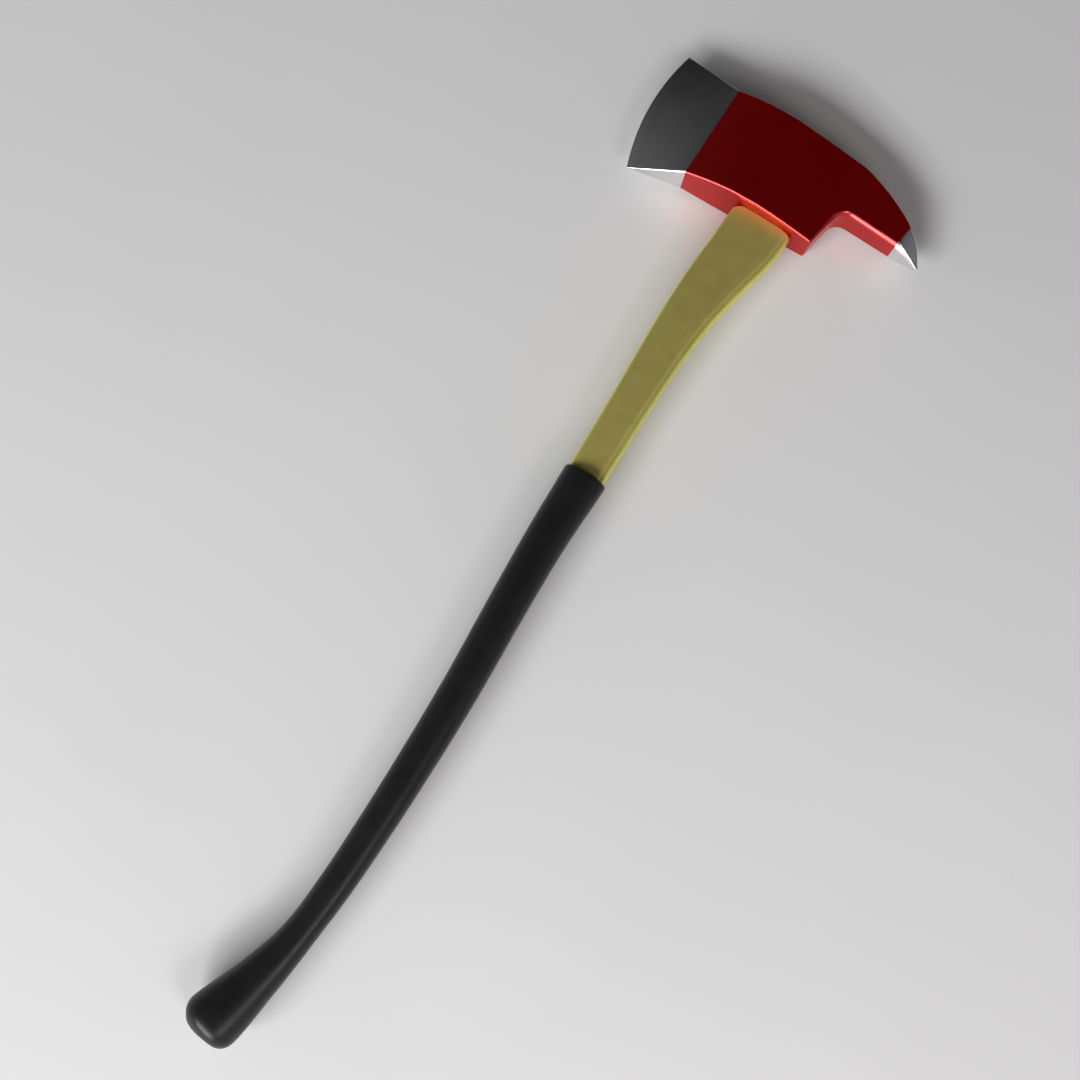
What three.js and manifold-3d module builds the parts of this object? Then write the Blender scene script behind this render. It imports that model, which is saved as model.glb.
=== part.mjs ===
// Pick-head fire axe with a bonded fibreglass handle, lying on its side on its lower cheek.
// Millimetres, +Z up. The handle runs towards -Y, the cutting edge faces -X and the pick +X.
// Pieces are drawn in the eye frame: x = 0 is the middle of the eye, y = 0 the head's underside and
// z = 0 the surface that the axe lies on. The last lines move the origin to the middle of the lower
// cheek's flat.

import * as THREE from 'three';
import { mergeVertices } from 'three/addons/utils/BufferGeometryUtils.js';
import Module from 'manifold-3d';

const wasm = await Module();
wasm.setup();

// ---------------------------------------------------------------- driving dimensions

const overallLength = 912; // crown of the head, over the eye, to the butt of the grip
const clearance = 0.3; // gap kept between pieces that touch

// Head, thickness
const eyeThickness = 44.6; // across the two flat cheeks
const bitLineThickness = 32; // where the painted body ends and the ground bit starts
const lugThickness = 31.8; // behind the eye, at the root of the pick
const pickThickness = 28.8; // where the pick's ground tip starts
const edgeThickness = 0.8; // along the cutting edge
const tipThickness = 2; // at the point of the pick
const cheekFlatStart = -34; // the cheeks are flat from here
const cheekFlatEnd = -13; // to here
const bitFallPower = 1.5; // how they fall off from there to the bit line
const lugFallPower = 1.35; // and to the lug
const tipTaperPower = 1.25; // how the ground tip thins towards the point

// Head, outline
const edgeReach = 131.7; // eye middle to the straight line from heel to toe
const edgeLength = 123.8; // heel to toe
const edgeSagitta = 9.2; // how far the edge's arc stands out of that line
const edgeLean = 0.032; // tangent of the edge's lean, toe outwards
const heelDrop = 15.4; // heel below the underside
const bitLineReach = 80.3; // eye middle to the bit's ground face, at the underside
const bitLineLean = 0.035; // tangent of that line's lean, top inwards
const eyeArch = 2.8; // how far the underside arches up at the eye
const lugReach = 45.8; // eye middle to the lug's corner
const lugCornerRadius = 3;
const notchLean = 0.2217; // tangent of the notch wall's lean
const notchRadius = 13;
const pickRootHeight = 42.4; // the pick's lower edge at the notch wall
const pickDroop = 0.0778; // slope of the pick's lower edge
const tipDroop = 0.15; // slope of the ground tip's lower edge
const pickReach = 140; // eye middle to the point of the pick
const tipLength = 28.3; // ground tip, along its lower edge
const tipHeight = 2.4; // height of the blunt point
const tipLean = 0.2; // tangent of the ground tip's face line, top outwards
const crownHeight = 92.9; // crown above the underside, over the eye
// Crown outline: x from the bit line to the pick's point, height against the crown over the eye.
const crownOutline = [
  [-77, 1.5],
  [-58, 2.3],
  [-38, 2.1],
  [-20, 1.8],
  [0, 0.4],
  [17, -0.4],
  [34, -1.3],
  [56, -3.2],
  [79, -11.2],
  [100, -21.3],
  [117, -32],
  [130, -41.8],
];

// Head, rounded edges
const bodyEdgeRadius = 2;
const pickEdgeRadius = 3.6; // along the pick's lower side, past the notch
const tipEdgeRadius = 4.4; // where the ground tip starts
const cuttingEdgeRadius = 0.15;
const pointEdgeRadius = 0.5;

// Eye and what fills it
const tongueWidth = 45;
const tongueThickness = 13.4;
const tongueCornerRadius = 5;
const glueGap = 1.5; // from the tongue to the wall of the eye
const eyeRecess = 0.6; // the tongue's end lies this far below the crown
const glueRecess = 1.2; // and the resin this far
const sealHeight = 5; // cord packed round the tongue's foot
const sealSetback = 4; // from the underside to the cord

// Handle
const shoulderWidth = 58.2; // under the head
const neckWidth = 33.6; // where the handle enters the grip
const barThickness = 18;
const shoulderRound = 4; // rounding of the shoulder's end
const shoulderTurn = 26; // the handle starts square to the head and follows its own line from here
const barLeftPower = 7; // squareness of the bar's left side
const barRightPower = 4.5; // and of its right side
const corePower = 2.4;
const coreWidth = 17;
const coreThickness = 8.4;
// Handle centreline: share of the way from the underside to the butt, sideways offset.
const centreline = [
  [0, 0],
  [0.035, -3.2],
  [0.08, -9.7],
  [0.13, -15.2],
  [0.19, -18],
  [0.34, -20.5],
  [0.42, -22.5],
  [0.5, -21.9],
  [0.59, -20.3],
  [0.66, -20.7],
  [0.74, -22.6],
  [0.82, -26.3],
  [0.88, -32.2],
  [0.93, -41.9],
  [1, -59.5],
];
// Bar width: share of the way from the head to the grip, share of the shoulder's extra width.
const barTaper = [
  [0, 1],
  [0.1, 0.95],
  [0.24, 0.71],
  [0.38, 0.44],
  [0.56, 0.22],
  [0.78, 0.07],
  [1, 0],
];

// Grip
const gripLength = 540; // rim to butt
const gripWall = 3; // rubber beside the handle
const buttWall = 9; // rubber past the handle's end
const rimRound = 3;
const buttDome = 17; // length of the butt's rounding
const domePower = 2.6;
const ovalPower = 2.2; // squareness of the grip's section
const seatLength = 30; // length over which the bar turns oval inside the grip
const coreSetback = 12; // from the jacket's end to the core's end
// Grip width and thickness: share of the way from the rim to the butt, millimetres.
const gripWidths = [
  [0, 39.7],
  [0.12, 36],
  [0.23, 34.1],
  [0.48, 31.4],
  [0.73, 28.4],
  [0.81, 28.1],
  [0.89, 36.4],
  [0.96, 47.4],
  [1, 50],
];
const gripThicknesses = [
  [0, 34],
  [0.2, 31.5],
  [0.5, 29.5],
  [0.75, 28],
  [0.83, 29.5],
  [0.9, 35],
  [0.96, 43],
  [1, 46],
];

// Mesh fineness
const roundSteps = 3; // steps round the head's edges
const cheekRows = 3; // rows across the flat of the cheek
const sides = 24; // round the handle and grip
const coreSides = 16;
const coreRings = 30;
const barRings = 15;
const seatRings = 3;
const seatedRings = 20; // along the jacket inside the grip
const gripRings = 26;
const cornerSteps = 5; // round each corner of the tongue and of the eye

const weldTolerance = 1e-4;
const overshoot = 10; // how far a cutting shape runs past the surface it cuts
const endInset = 0.2; // from a domed end to its last ring

// ---------------------------------------------------------------- derived sizes

const middle = eyeThickness / 2; // height of the axe's middle plane
const buttY = crownHeight - overallLength;
const rimY = buttY + gripLength;
const jacketEndY = buttY + buttWall;
const coreEndY = jacketEndY + coreSetback;
const eyeWidth = tongueWidth + 2 * glueGap;
const eyeHeight = tongueThickness + 2 * glueGap;
const tipLineX = pickReach - tipLength;

// ---------------------------------------------------------------- small maths

const clamp01 = (t) => Math.min(1, Math.max(0, t));
const mix = (a, b, t) => a + (b - a) * t;
const ease = (t) => clamp01(t) ** 2 * (3 - 2 * clamp01(t));

// A smooth curve y(x) through a list of [x, y] points, with x rising.
function smoothThrough(points) {
  const slopes = points.map((point, i) => {
    const before = points[Math.max(0, i - 1)];
    const after = points[Math.min(points.length - 1, i + 1)];
    return (after[1] - before[1]) / (after[0] - before[0]);
  });
  return (x) => {
    const next = points.findIndex((point) => point[0] >= x);
    const i = next < 0 ? points.length - 2 : Math.max(0, next - 1);
    const span = points[i + 1][0] - points[i][0];
    const t = clamp01((x - points[i][0]) / span);
    const rise = points[i + 1][1] - points[i][1];
    const bend = (1 - t) * (slopes[i] * span - rise) - t * (slopes[i + 1] * span - rise);
    return points[i][1] + rise * t + t * (1 - t) * bend;
  };
}

// ---------------------------------------------------------------- solids

// The geometry with one vertex at each corner, shared by the triangles that meet there.
function welded(geometry) {
  geometry.deleteAttribute('normal');
  geometry.deleteAttribute('uv');
  return mergeVertices(geometry, weldTolerance);
}

function solid(geometry) {
  const mesh = new wasm.Mesh({
    numProp: 3,
    vertProperties: new Float32Array(geometry.attributes.position.array),
    triVerts: new Uint32Array(geometry.index.array),
  });
  return new wasm.Manifold(mesh);
}

function geometryOf(manifold) {
  const mesh = manifold.getMesh();
  const geometry = new THREE.BufferGeometry();
  geometry.setAttribute('position', new THREE.BufferAttribute(mesh.vertProperties, mesh.numProp));
  geometry.setIndex(new THREE.BufferAttribute(mesh.triVerts, 1));
  geometry.computeVertexNormals();
  return geometry;
}

// Welds a geometry and moves every vertex to where place(x, y, z) says.
function reshape(blank, place) {
  const geometry = welded(blank);
  const positions = geometry.attributes.position;
  for (let i = 0; i < positions.count; i += 1) {
    const point = place(positions.getX(i), positions.getY(i), positions.getZ(i));
    positions.setXYZ(i, point.x, point.y, point.z);
  }
  return geometry;
}

function roundedRectangle(path, width, height, radius) {
  const x = width / 2 - radius;
  const y = height / 2 - radius;
  path.moveTo(x + radius, -y);
  path.absarc(x, y, radius, 0, Math.PI / 2);
  path.absarc(-x, y, radius, Math.PI / 2, Math.PI);
  path.absarc(-x, -y, radius, Math.PI, 1.5 * Math.PI);
  path.absarc(x, -y, radius, 1.5 * Math.PI, 2 * Math.PI);
  path.closePath();
  return path;
}

// An outline across the eye, run along Y. Its ends lie where the two functions of x say.
function alongEye(shape, startY, endY) {
  const geometry = new THREE.ExtrudeGeometry(shape, { depth: 1, bevelEnabled: false, curveSegments: cornerSteps });
  return reshape(geometry, (x, y, z) =>
    new THREE.Vector3(x, z < 0.5 ? startY(x) : endY(x), middle - y));
}

// ---------------------------------------------------------------- head

const crownOffset = smoothThrough([...crownOutline, [pickReach, tipLowY(pickReach) + tipHeight - crownHeight]]);

function crownY(x) {
  return crownHeight + crownOffset(x);
}

function pickLowY(x) {
  const cornerX = lugReach + notchLean * pickRootHeight;
  return pickRootHeight - pickDroop * (x - cornerX);
}

function tipLowY(x) {
  return pickLowY(tipLineX) - tipDroop * (x - tipLineX);
}

// Half the head's thickness, from the bit line to the point of the pick.
function halfThickness(x) {
  if (x < cheekFlatStart) {
    const fall = clamp01((cheekFlatStart - x) / (cheekFlatStart + bitLineReach));
    return mix(eyeThickness, bitLineThickness, fall ** bitFallPower) / 2;
  }
  if (x < lugReach) {
    const fall = clamp01((x - cheekFlatEnd) / (lugReach - cheekFlatEnd));
    return mix(eyeThickness, lugThickness, fall ** lugFallPower) / 2;
  }
  if (x < tipLineX) {
    return mix(lugThickness, pickThickness, (x - lugReach) / (tipLineX - lugReach)) / 2;
  }
  const toPoint = clamp01((x - tipLineX) / tipLength);
  return mix(pickThickness, tipThickness, toPoint ** tipTaperPower) / 2;
}

function undersideY(x) {
  const lowest = Math.min(bitLineThickness, lugThickness) / 2;
  const swell = (halfThickness(x) - lowest) / (eyeThickness / 2 - lowest);
  return eyeArch * clamp01(swell);
}

// An arc of the given radius that rounds the corner between two directions.
function roundedCorner(corner, into, out, radius, steps) {
  const turn = into.angleTo(out);
  const side = Math.sign(into.cross(out));
  const start = corner.clone().addScaledVector(into, -radius * Math.tan(turn / 2));
  const centre = start.clone().add(new THREE.Vector2(-into.y, into.x).multiplyScalar(side * radius));
  return Array.from({ length: steps + 1 }, (_, i) =>
    start.clone().rotateAround(centre, (side * turn * i) / steps));
}

function line(from, to, steps) {
  return Array.from({ length: steps + 1 }, (_, i) => from.clone().lerp(to, i / steps));
}

function curve(fromX, toX, height, steps) {
  return Array.from({ length: steps + 1 }, (_, i) => {
    const x = mix(fromX, toX, i / steps);
    return new THREE.Vector2(x, height(x));
  });
}

function joined(stretches) {
  return stretches.flatMap((stretch, i) => (i ? stretch.slice(1) : stretch));
}

// The underside and the crown from the cutting edge to the point, as two rows of matched stations.
function headOutline() {
  const steps = { bit: 6, body: 16, corner: 4, wall: 3, notch: 5, pick: 6, tip: 5 };
  const heel = new THREE.Vector2(-edgeReach + edgeLean * (edgeLength / 2), -heelDrop);
  const toe = new THREE.Vector2(-edgeReach - edgeLean * (edgeLength / 2), edgeLength - heelDrop);
  const bitLow = new THREE.Vector2(-bitLineReach, 0);
  const bitHighX = -bitLineReach + bitLineLean * crownHeight;
  const bitHigh = new THREE.Vector2(bitHighX, crownY(bitHighX));

  const wallDirection = new THREE.Vector2(notchLean, 1).normalize();
  const pickDirection = new THREE.Vector2(1, -pickDroop).normalize();
  const lugCorner = new THREE.Vector2(lugReach, 0);
  const notchCorner = new THREE.Vector2(lugReach + notchLean * pickRootHeight, pickRootHeight);
  const corner = roundedCorner(lugCorner, new THREE.Vector2(1, 0), wallDirection, lugCornerRadius, steps.corner);
  const notch = roundedCorner(notchCorner, wallDirection, pickDirection, notchRadius, steps.notch);
  const tipLow = new THREE.Vector2(tipLineX, pickLowY(tipLineX));
  const pointLow = new THREE.Vector2(pickReach - tipHeight / 3, tipLowY(pickReach));
  const low = joined([
    line(heel, bitLow, steps.bit),
    curve(bitLow.x, corner[0].x, undersideY, steps.body),
    corner,
    line(corner.at(-1), notch[0], steps.wall),
    notch,
    line(notch.at(-1), tipLow, steps.pick),
    line(tipLow, pointLow, steps.tip),
  ]);

  const tipHighX = tipLineX + tipLean * (crownY(tipLineX) - tipLow.y);
  const high = joined([
    line(toe, bitHigh, steps.bit),
    curve(bitHigh.x, corner[0].x, crownY, steps.body),
    curve(corner[0].x, corner.at(-1).x, crownY, steps.corner),
    curve(corner.at(-1).x, notch[0].x, crownY, steps.wall),
    curve(notch[0].x, notch.at(-1).x, crownY, steps.notch),
    curve(notch.at(-1).x, tipHighX, crownY, steps.pick),
    curve(tipHighX, pickReach, crownY, steps.tip),
  ]);
  const underside = low.slice(steps.bit, steps.bit + steps.body + 1);
  const lugEnd = steps.bit + steps.body + steps.corner;
  const tipStart = low.length - 1 - steps.tip;
  return { low, high, underside, bitSteps: steps.bit, lugEnd, pickStart: tipStart - steps.pick, tipStart };
}

// Unit vectors square to a row of points, pointing to its left for side 1 and right for side -1.
function inwards(points, side) {
  return points.map((point, i) => {
    const before = points[Math.max(0, i - 1)];
    const after = points[Math.min(points.length - 1, i + 1)];
    const along = after.clone().sub(before).normalize();
    return new THREE.Vector2(-along.y * side, along.x * side);
  });
}

// Radius of the head's lower edges at a station. The crown's edges are no rounder than the body's.
function edgeRadius(station, outline) {
  const { low, bitSteps, lugEnd, pickStart, tipStart } = outline;
  if (station <= bitSteps) {
    return mix(cuttingEdgeRadius, bodyEdgeRadius, station / bitSteps);
  }
  if (station > tipStart) {
    const toPoint = (station - tipStart) / (low.length - 1 - tipStart);
    return mix(tipEdgeRadius, pointEdgeRadius, toPoint);
  }
  if (station > pickStart) {
    return mix(pickEdgeRadius, tipEdgeRadius, (station - pickStart) / (tipStart - pickStart));
  }
  return mix(bodyEdgeRadius, pickEdgeRadius, ease((station - lugEnd) / (pickStart - lugEnd)));
}

// A box drawn out to the head's outline: across its width run the stations, over its depth the rows
// from the underside to the crown, with the first and last rows rounding the edges.
function headBlank() {
  const outline = headOutline();
  const { low, high, bitSteps } = outline;
  const lowInwards = inwards(low, 1);
  const highInwards = inwards(high, -1);
  const stations = low.length - 1;
  const rows = 2 * roundSteps + cheekRows;
  const blank = new THREE.BoxGeometry(1, 1, 1, stations, rows, 1);
  return reshape(blank, (boxX, boxY, boxZ) => {
    const station = Math.round((boxX + 0.5) * stations);
    const row = Math.round((boxY + 0.5) * rows);
    const lowRadius = edgeRadius(station, outline);
    const crownRadius = Math.min(lowRadius, bodyEdgeRadius);
    const radius = row > rows / 2 ? crownRadius : lowRadius;
    const fromEdge = Math.min(row, rows - row, roundSteps) / roundSteps;
    const turn = (fromEdge * Math.PI) / 2;
    const roundedOff = 1 - Math.cos(turn);
    const across = clamp01((row - roundSteps) / cheekRows);
    const lowPoint = low[station].clone().addScaledVector(lowInwards[station], lowRadius * roundedOff);
    const highPoint = high[station].clone().addScaledVector(highInwards[station], crownRadius * roundedOff);
    const point = lowPoint.lerp(highPoint, across);
    const toBitLine = clamp01(station / bitSteps);
    const wedge = mix(edgeThickness, bitLineThickness, toBitLine) / 2;
    const half = station < bitSteps ? wedge : halfThickness(point.x);
    point.x -= edgeSagitta * (1 - toBitLine) * (1 - (2 * across - 1) ** 2);
    const height = half - radius + radius * Math.sin(turn);
    return new THREE.Vector3(point.x, point.y, middle + Math.sign(boxZ) * height);
  });
}

function axeHead() {
  const shape = roundedRectangle(new THREE.Shape(), eyeWidth, eyeHeight, tongueCornerRadius + glueGap);
  const eye = alongEye(shape, () => -overshoot, () => crownHeight + overshoot);
  return geometryOf(solid(headBlank()).subtract(solid(eye)));
}

// ---------------------------------------------------------------- handle sections

const centreOffset = smoothThrough(centreline);
const barShare = smoothThrough(barTaper);
const gripWidthAt = smoothThrough(gripWidths);
const gripThicknessAt = smoothThrough(gripThicknesses);

function centre(y) {
  return new THREE.Vector2(centreOffset(clamp01(y / buttY)), y);
}

// The handle's direction towards the head at height y.
function direction(y) {
  const step = 4;
  const own = centre(y + step).sub(centre(y - step)).normalize();
  return new THREE.Vector2(0, 1).lerp(own, ease(-y / shoulderTurn)).normalize();
}

// How full a rounded end is, at a distance from it.
function dome(distance, length, power) {
  return (1 - (1 - clamp01(distance / length)) ** power) ** (1 / power);
}

function gripSection(y) {
  const share = clamp01((rimY - y) / gripLength);
  const full = dome(y - buttY, buttDome, domePower);
  const rim = rimRound * (1 - dome(rimY - y, rimRound, 2));
  return {
    halfWidth: (gripWidthAt(share) / 2) * full - rim,
    halfThickness: (gripThicknessAt(share) / 2) * full - rim,
    leftPower: ovalPower,
    rightPower: ovalPower,
  };
}

// The yellow bar from the shoulder to the rim, and the oval seat that it turns into inside the grip.
function jacketSection(y) {
  const share = clamp01(y / rimY);
  const seat = ease((rimY - y) / seatLength);
  const grip = gripSection(Math.max(y, buttY + buttDome));
  const barHalfWidth = mix(neckWidth, shoulderWidth, barShare(share)) / 2;
  const shoulder = shoulderRound * (1 - dome(-y, shoulderRound, 2));
  const full = dome(y - jacketEndY, buttDome, domePower);
  return {
    halfWidth: (mix(barHalfWidth, grip.halfWidth - gripWall, seat) - shoulder) * full,
    halfThickness: (mix(barThickness / 2, grip.halfThickness - gripWall, seat) - shoulder / 2) * full,
    leftPower: mix(barLeftPower, ovalPower, seat),
    rightPower: mix(barRightPower, ovalPower, seat),
  };
}

function coreSection() {
  const halfWidth = coreWidth / 2;
  const halfThickness = coreThickness / 2;
  return { halfWidth, halfThickness, leftPower: corePower, rightPower: corePower };
}

// A cylinder whose rings follow the handle at the given heights, from the top down. Each ring is
// grown by extra, and the top ring can be bent to a surface by topY.
function handleLoft(heights, section, sideCount, extra = 0, topY = null) {
  const rings = heights.length - 1;
  const blank = new THREE.CylinderGeometry(1, 1, 1, sideCount, rings);
  return reshape(blank, (boxX, boxY, boxZ) => {
    const y = heights[Math.round((0.5 - boxY) * rings)];
    const { halfWidth, halfThickness, leftPower, rightPower } = section(y);
    const power = boxX < 0 ? leftPower : rightPower;
    const spread = (value) => Math.sign(value) * Math.abs(value) ** (2 / power);
    const across = (halfWidth + extra) * spread(boxX);
    const up = (halfThickness + extra) * spread(boxZ);
    const along = direction(y);
    const point = centre(y).add(new THREE.Vector2(along.y, -along.x).multiplyScalar(across));
    if (topY) {
      point.y += topY(point.x) * clamp01(1 + y / shoulderWidth);
    }
    return new THREE.Vector3(point.x, point.y, middle + up);
  });
}

function spaced(from, to, count) {
  return Array.from({ length: count + 1 }, (_, i) => mix(from, to, i / count));
}

// Heights that step round a rounded end, from the end towards the body.
function roundedEnd(end, length, side, steps) {
  return Array.from({ length: steps + 1 }, (_, i) =>
    end + side * length * (1 - Math.cos((i / steps) * (Math.PI / 2))));
}

function jacketHeights() {
  return [
    ...roundedEnd(0, shoulderRound, -1, 3),
    ...spaced(-shoulderRound, rimY, barRings).slice(1),
    ...spaced(rimY, rimY - seatLength, seatRings).slice(1),
    ...spaced(rimY - seatLength, jacketEndY + buttDome, seatedRings).slice(1),
    ...roundedEnd(jacketEndY, buttDome, 1, 4).reverse().slice(1, -1),
    jacketEndY + endInset,
  ];
}

// ---------------------------------------------------------------- handle pieces

function fibreglassCore() {
  const heights = [crownHeight, ...spaced(0, coreEndY, coreRings)];
  return coreLoft(heights, 0, (x) => crownY(x) - eyeRecess);
}

// The core's loft, with its top ring bent to the given surface.
function coreLoft(heights, extra, topSurface) {
  const geometry = handleLoft(heights, coreSection, coreSides, extra);
  return reshape(geometry, (x, y, z) => new THREE.Vector3(x, y > crownHeight - 1 ? topSurface(x) : y, z));
}

// The room that the head takes over the shoulder, down to the clearance below its underside.
function headRoom() {
  const { underside } = headOutline();
  const shape = new THREE.Shape([
    ...underside.map((point) => new THREE.Vector2(point.x, point.y - clearance)),
    new THREE.Vector2(underside.at(-1).x, crownHeight),
    new THREE.Vector2(underside[0].x, crownHeight),
  ]);
  return new THREE.ExtrudeGeometry(shape, { depth: eyeThickness, bevelEnabled: false });
}

function handleJacket() {
  const meetHead = (x) => undersideY(x) - clearance;
  const bar = handleLoft(jacketHeights(), jacketSection, sides, 0, meetHead);
  const shoulder = solid(bar).subtract(solid(welded(headRoom())));
  const tongueShape = roundedRectangle(new THREE.Shape(), tongueWidth, tongueThickness, tongueCornerRadius);
  const tongue = alongEye(tongueShape, () => -shoulderRound, (x) => crownY(x) - eyeRecess);
  const boreHeights = [crownHeight, ...spaced(0, coreEndY - clearance, coreRings)];
  const bore = coreLoft(boreHeights, clearance, () => crownHeight + overshoot);
  return geometryOf(shoulder.add(solid(tongue)).subtract(solid(bore)));
}

function rubberGrip() {
  const outerHeights = [
    ...roundedEnd(rimY, rimRound, -1, 3),
    ...spaced(rimY - rimRound, buttY + buttDome, gripRings).slice(1),
    ...roundedEnd(buttY, buttDome, 1, 5).reverse().slice(1, -1),
    buttY + endInset,
  ];
  const outer = handleLoft(outerHeights, gripSection, sides);
  const inner = jacketHeights()
    .filter((y) => y < rimY + seatLength)
    .map((y) => (y > jacketEndY + endInset ? y : y - clearance));
  const cavity = handleLoft(inner, (y) => jacketSection(Math.max(y, jacketEndY + endInset)), sides, clearance);
  return geometryOf(solid(outer).subtract(solid(cavity)));
}

// A ring that fills the gap between the tongue and the wall of the eye.
function eyeRing(startY, endY) {
  const grown = glueGap - clearance;
  const shape = roundedRectangle(
    new THREE.Shape(), tongueWidth + 2 * grown, tongueThickness + 2 * grown, tongueCornerRadius + grown);
  shape.holes.push(roundedRectangle(
    new THREE.Path(), tongueWidth + 2 * clearance, tongueThickness + 2 * clearance, tongueCornerRadius + clearance));
  return alongEye(shape, startY, endY);
}

function eyeSeal() {
  return eyeRing(() => sealSetback, () => sealSetback + sealHeight);
}

function eyeResin() {
  return eyeRing(() => sealSetback + sealHeight + clearance, (x) => crownY(x) - glueRecess);
}

// ---------------------------------------------------------------- materials

const materials = {
  redEnamel: () => new THREE.MeshStandardMaterial({ color: 0x8c0a08, roughness: 0.25, metalness: 0 }),
  yellowJacket: () => new THREE.MeshStandardMaterial({ color: 0xb9ac3c, roughness: 0.35, metalness: 0 }),
  blackRubber: () => new THREE.MeshStandardMaterial({ color: 0x1c1c1c, roughness: 0.55, metalness: 0 }),
  glassFibre: () => new THREE.MeshStandardMaterial({ color: 0xa59a6a, roughness: 0.5, metalness: 0 }),
  resin: () => new THREE.MeshStandardMaterial({ color: 0x6e5a30, roughness: 0.2, metalness: 0 }),
  foamCord: () => new THREE.MeshStandardMaterial({ color: 0x3a3a3a, roughness: 0.9, metalness: 0 }),
};

// ---------------------------------------------------------------- assembly

function piece(name, geometry, material) {
  const mesh = new THREE.Mesh(geometry, material);
  mesh.name = name;
  return mesh;
}

const axe = new THREE.Group();
axe.add(
  piece('axe_head', axeHead(), materials.redEnamel()),
  piece('handle_jacket', handleJacket(), materials.yellowJacket()),
  piece('fibreglass_core', fibreglassCore(), materials.glassFibre()),
  piece('rubber_grip', rubberGrip(), materials.blackRubber()),
  piece('eye_resin', eyeResin(), materials.resin()),
  piece('eye_seal_cord', eyeSeal(), materials.foamCord()),
);
const cheekMiddleX = (cheekFlatStart + cheekFlatEnd) / 2;
const cheekMiddleY = crownHeight / 2;
axe.position.set(-cheekMiddleX, -cheekMiddleY, 0);

export default axe;
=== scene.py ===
"""Pick-head fire axe lying on its side on a pale studio floor.

Sizes are in millimetres in the eye frame: x = 0 is the middle of the eye, y = 0 the head's
underside and z = 0 the floor. Points are turned into metres in the row frame as the meshes are
made. The studio's own sizes are in metres.
"""

import math

import bmesh
import bpy
from mathutils import Matrix, Vector


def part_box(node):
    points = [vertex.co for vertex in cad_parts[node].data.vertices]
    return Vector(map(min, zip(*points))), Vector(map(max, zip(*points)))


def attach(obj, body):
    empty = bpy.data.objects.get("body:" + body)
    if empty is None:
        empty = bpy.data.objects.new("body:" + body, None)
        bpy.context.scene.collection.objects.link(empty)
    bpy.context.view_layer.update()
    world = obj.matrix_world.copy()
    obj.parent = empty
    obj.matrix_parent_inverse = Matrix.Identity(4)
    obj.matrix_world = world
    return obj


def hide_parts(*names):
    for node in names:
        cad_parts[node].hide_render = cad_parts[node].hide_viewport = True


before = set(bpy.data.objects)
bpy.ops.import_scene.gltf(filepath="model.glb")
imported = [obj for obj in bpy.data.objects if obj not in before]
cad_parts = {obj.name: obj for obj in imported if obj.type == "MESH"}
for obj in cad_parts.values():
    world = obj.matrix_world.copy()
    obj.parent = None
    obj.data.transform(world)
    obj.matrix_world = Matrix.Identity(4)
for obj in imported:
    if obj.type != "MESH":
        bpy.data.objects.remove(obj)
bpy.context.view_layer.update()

MM = 0.001

# ------------------------------------------------------------------ sizes from the frame

HEAD_LOW, HEAD_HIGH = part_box("axe_head")
RESIN_LOW, RESIN_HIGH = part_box("eye_resin")

EYE_X = (RESIN_LOW.x + RESIN_HIGH.x) / 2
EYE_THICKNESS = (HEAD_HIGH.z - HEAD_LOW.z) / MM
MIDDLE = EYE_THICKNESS / 2

SKIN = 0.12  # the finished surface lies this far inside the CAD solids
PAINT = 0.12  # thickness of the enamel over the bare steel
CLEARANCE = 0.3

# ------------------------------------------------------------------ sizes of the head

BIT_LINE_THICKNESS = 32
LUG_THICKNESS = 31.8
PICK_THICKNESS = 28.8
EDGE_THICKNESS = 0.8
TIP_THICKNESS = 2
CHEEK_FLAT_START = -34
CHEEK_FLAT_END = -13
BIT_FALL_POWER = 1.5  # how the cheeks fall off from their flat, to the bit line
LUG_FALL_POWER = 1.35  # and to the lug
TIP_TAPER_POWER = 1.25

EDGE_LENGTH = (HEAD_HIGH.y - HEAD_LOW.y) / MM
EDGE_SAGITTA = 9.2
EDGE_REACH = (EYE_X - HEAD_LOW.x) / MM - EDGE_SAGITTA - 2 * SKIN
EDGE_LEAN = 0.032
HEEL_DROP = 15.4
BIT_LINE_REACH = 80.3
BIT_LINE_LEAN = 0.035
EYE_ARCH = 2.8
LUG_REACH = 45.8
LUG_CORNER_RADIUS = 3
NOTCH_LEAN = 0.2217
NOTCH_RADIUS = 13
PICK_ROOT_HEIGHT = 42.4
PICK_DROOP = 0.0778
TIP_DROOP = 0.15
PICK_REACH = 140
TIP_LENGTH = 28.3
TIP_HEIGHT = 2.4
TIP_LEAN = 0.2
TIP_LINE_X = PICK_REACH - TIP_LENGTH
POINT_SLANT = TIP_HEIGHT / 3  # the point's underside stops this far short of its crown
CROWN_HEIGHT = 92.9
CROWN_OUTLINE = [  # height over CROWN_HEIGHT, from the bit to the pick
    (-77, 1.5), (-58, 2.3), (-38, 2.1), (-20, 1.8), (0, 0.4), (17, -0.4),
    (34, -1.3), (56, -3.2), (79, -11.2), (100, -21.3), (117, -32), (130, -41.8),
]
UNDERSIDE_Y = HEAD_LOW.y + HEEL_DROP * MM

HONED_WIDTH = 2.4  # the fine bevel along the cutting edge
HONED_EDGE = 0.12  # half thickness left at the very edge
CUTTING_EDGE_RADIUS = HONED_EDGE * 0.8  # a little less than the steel that is there
BODY_EDGE_RADIUS = 2
BIT_EDGE_RADIUS = 2
PICK_EDGE_RADIUS = 3.6
TIP_EDGE_RADIUS = 4.4  # at the start of the ground tip
POINT_EDGE_RADIUS = 0.5
BODY_EDGE_FLATNESS = 0.5  # of the underside's edges, 0 for a round edge and 1 for a bevel
PICK_EDGE_FLATNESS = 0.7

# ------------------------------------------------------------------ sizes of the handle

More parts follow.
